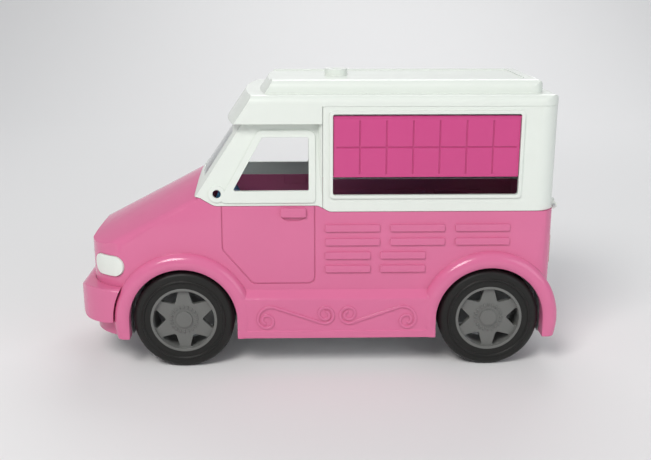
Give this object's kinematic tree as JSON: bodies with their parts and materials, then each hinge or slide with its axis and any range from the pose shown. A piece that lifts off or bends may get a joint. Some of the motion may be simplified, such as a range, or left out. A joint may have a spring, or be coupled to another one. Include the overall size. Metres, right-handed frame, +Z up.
{
  "type": "toy food truck with a lifting top and a serving hatch",
  "caption": "Plastic toy food truck: pink lower body, white lifting top, magenta serving hatch and free-rolling wheels with star spokes.",
  "frame": {"origin": "middle of the footprint at floor level", "axes": "+Z up, the front looks along -X, the serving side is -Y"},
  "size_m": [0.436, 0.16, 0.263],
  "materials": {
    "body_pink": "gloss moulded",
    "top_white": "gloss moulded",
    "hatch_magenta": "gloss moulded",
    "pan": "satin moulded",
    "inside_blue": "gloss moulded",
    "lamp_red": "gloss moulded",
    "clear": "clear moulded plastic",
    "tyre_black": "satin moulded",
    "rim_grey": "satin moulded",
    "steel": "drawn wire"
  },
  "bodies": {
    "chassis": {"chassis_pan": "pan", "left_shell": "body_pink", "right_shell": "body_pink", "front_bumper": "body_pink", "rear_bumper": "top_white", "headlamp_left": "top_white", "headlamp_right": "top_white", "tail_lamp_left": "lamp_red", "tail_lamp_right": "lamp_red", "grille": "top_white", "floor_tray": "pan", "dash": "inside_blue", "seat": "top_white", "counter": "inside_blue", "hinge_pin_left": "steel", "hinge_pin_right": "steel"},
    "top": {"cab_shell": "top_white", "serving_box": "top_white", "roof_cap": "top_white", "windscreen": "clear"},
    "hatch": {"hatch": "hatch_magenta"},
    "front_wheels": {"front_axle": "steel", "front_tyre_left": "tyre_black", "front_tyre_right": "tyre_black", "front_rim_left": "rim_grey", "front_rim_right": "rim_grey"},
    "rear_wheels": {"rear_axle": "steel", "rear_tyre_left": "tyre_black", "rear_tyre_right": "tyre_black", "rear_rim_left": "rim_grey", "rear_rim_right": "rim_grey"}
  },
  "joints": [
    {"name": "roof_lift", "type": "hinge", "parent": "chassis", "child": "top", "pos_m": [0.215, 0, 0.1442], "axis": [0, 1, 0], "range_deg": [0, 95]},
    {"name": "hatch_swing", "type": "hinge", "parent": "top", "child": "hatch", "pos_m": [0.0949, -0.0675, 0.2277], "axis": [-1, 0, 0], "range_deg": [0, 95]},
    {"name": "front_axle_spin", "type": "hinge", "parent": "chassis", "child": "front_wheels", "pos_m": [-0.121, 0, 0.0454], "axis": [0, 1, 0], "continuous": true},
    {"name": "rear_axle_spin", "type": "hinge", "parent": "chassis", "child": "rear_wheels", "pos_m": [0.155, 0, 0.0454], "axis": [0, 1, 0], "continuous": true}
  ]
}
